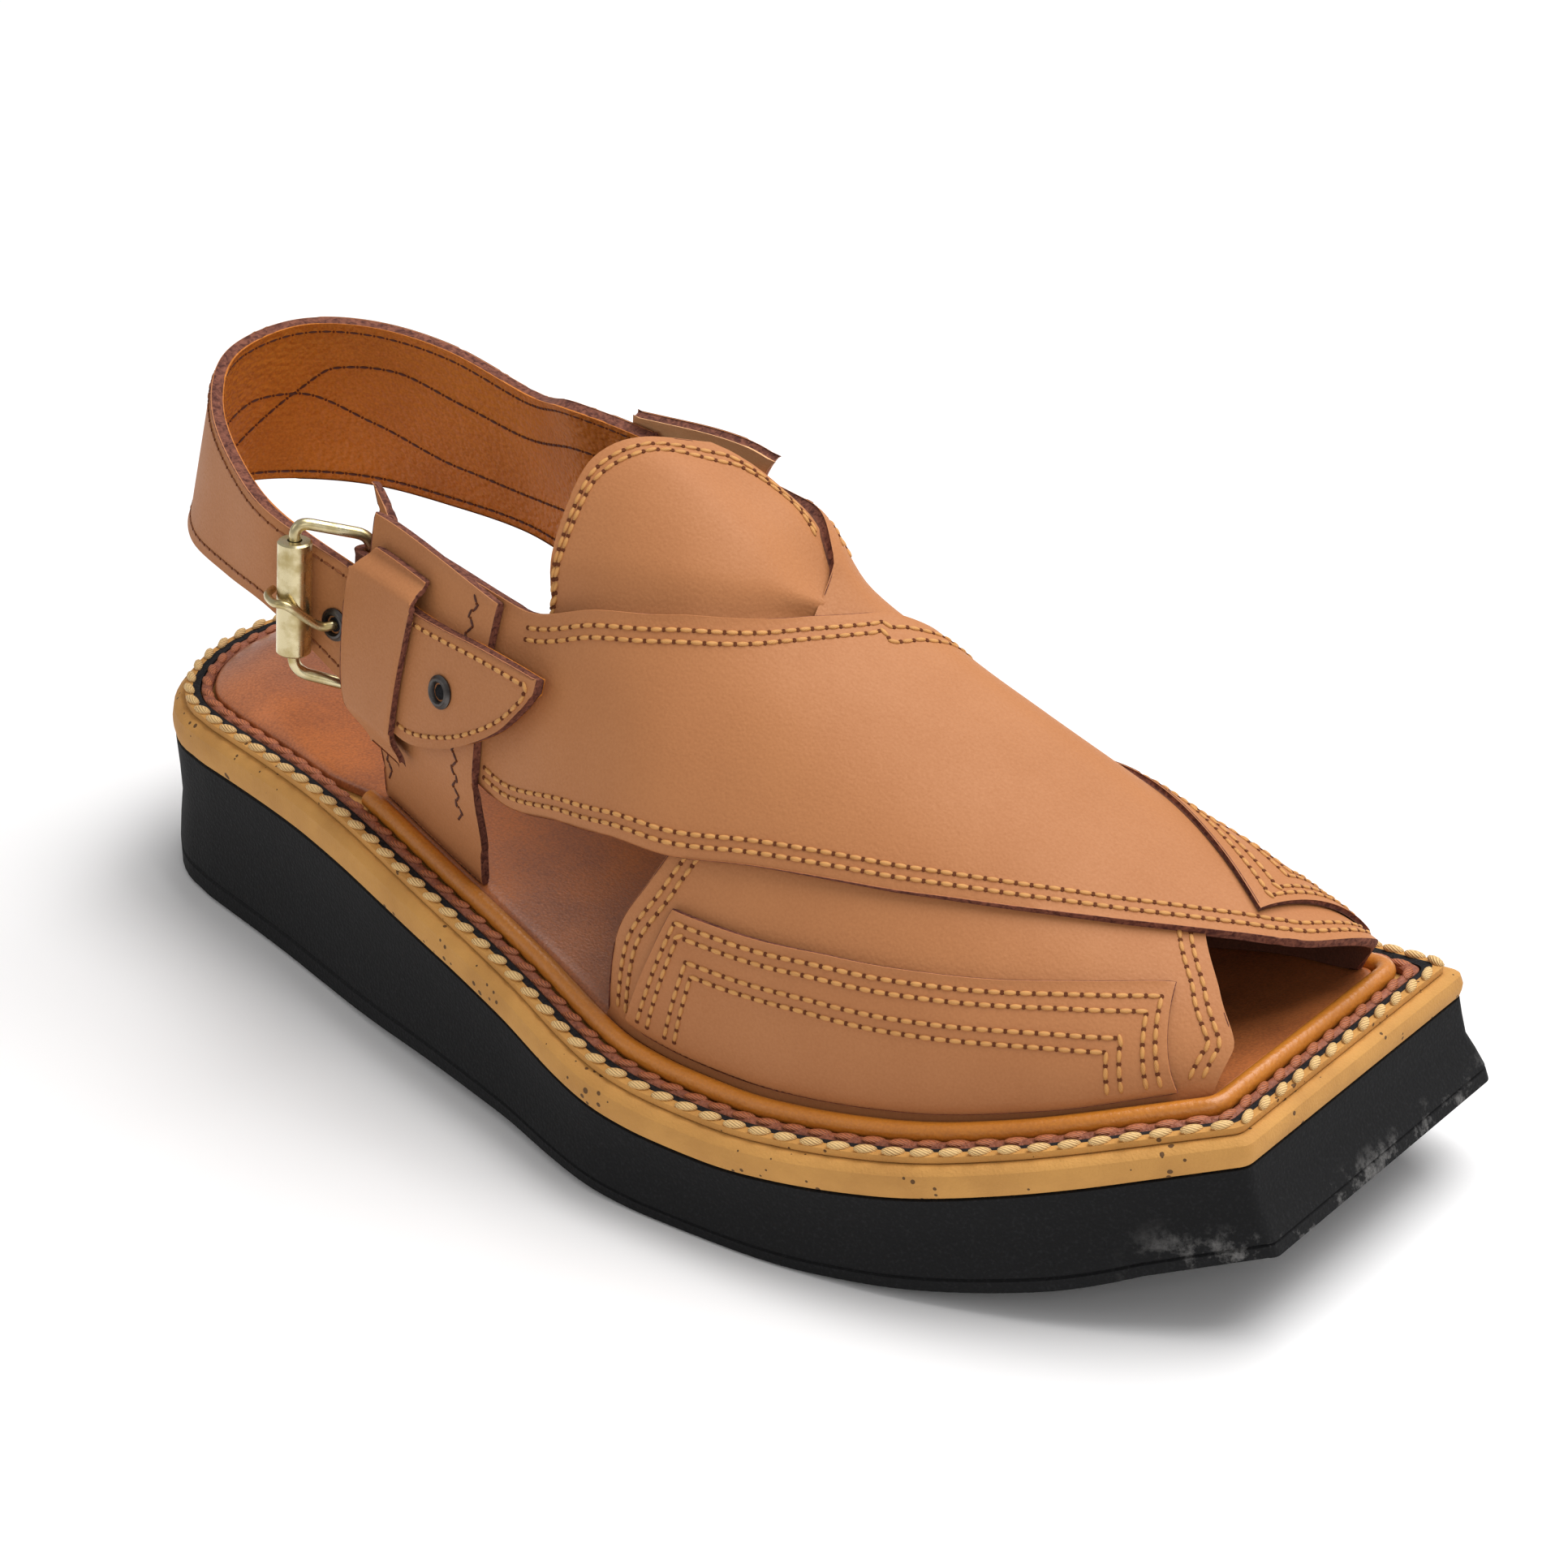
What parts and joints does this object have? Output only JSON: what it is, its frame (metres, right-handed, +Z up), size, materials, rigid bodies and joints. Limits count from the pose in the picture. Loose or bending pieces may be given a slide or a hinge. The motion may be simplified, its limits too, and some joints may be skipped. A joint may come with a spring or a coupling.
{
  "type": "peshawari chappal",
  "caption": "Right-foot leather sandal with two broad crossing straps, a rounded throat flap, a buckled heel strap and a thick square-toed platform sole.",
  "frame": {"origin": "middle of the whole shoe's footprint, on the floor", "axes": "+X from heel to toe, -Y to the little-toe side, +Z up"},
  "size_m": [0.308, 0.1272, 0.1328],
  "materials": {
    "upper_leather": "matt-satin tan leather",
    "insole_leather": "polished tan-orange leather",
    "piping_leather": "glossy orange rolled leather",
    "rand_leather": "whip-stitched brown leather",
    "welt_leather": "matt near-black strip",
    "crepe": "tan crepe rubber",
    "black_rubber": "matt black microcellular rubber",
    "buckle_brass": "plated, worn bright",
    "eyelet_steel": "gunmetal"
  },
  "bodies": {
    "root": {"outsole": "black_rubber", "midsole": "crepe", "welt": "welt_leather", "rand": "rand_leather", "piping": "piping_leather", "insole": "insole_leather", "upper": "upper_leather", "throat_flap": "upper_leather", "overlay_outer": "upper_leather", "overlay_inner": "upper_leather", "quarter_outer": "upper_leather", "quarter_inner": "upper_leather", "heel_strap": "upper_leather", "keeper": "upper_leather", "buckle_loop": "upper_leather", "buckle_frame": "buckle_brass", "buckle_roller": "buckle_brass", "buckle_prong": "buckle_brass", "eyelet_prong": "eyelet_steel", "eyelet_spare": "eyelet_steel"}
  },
  "joints": []
}
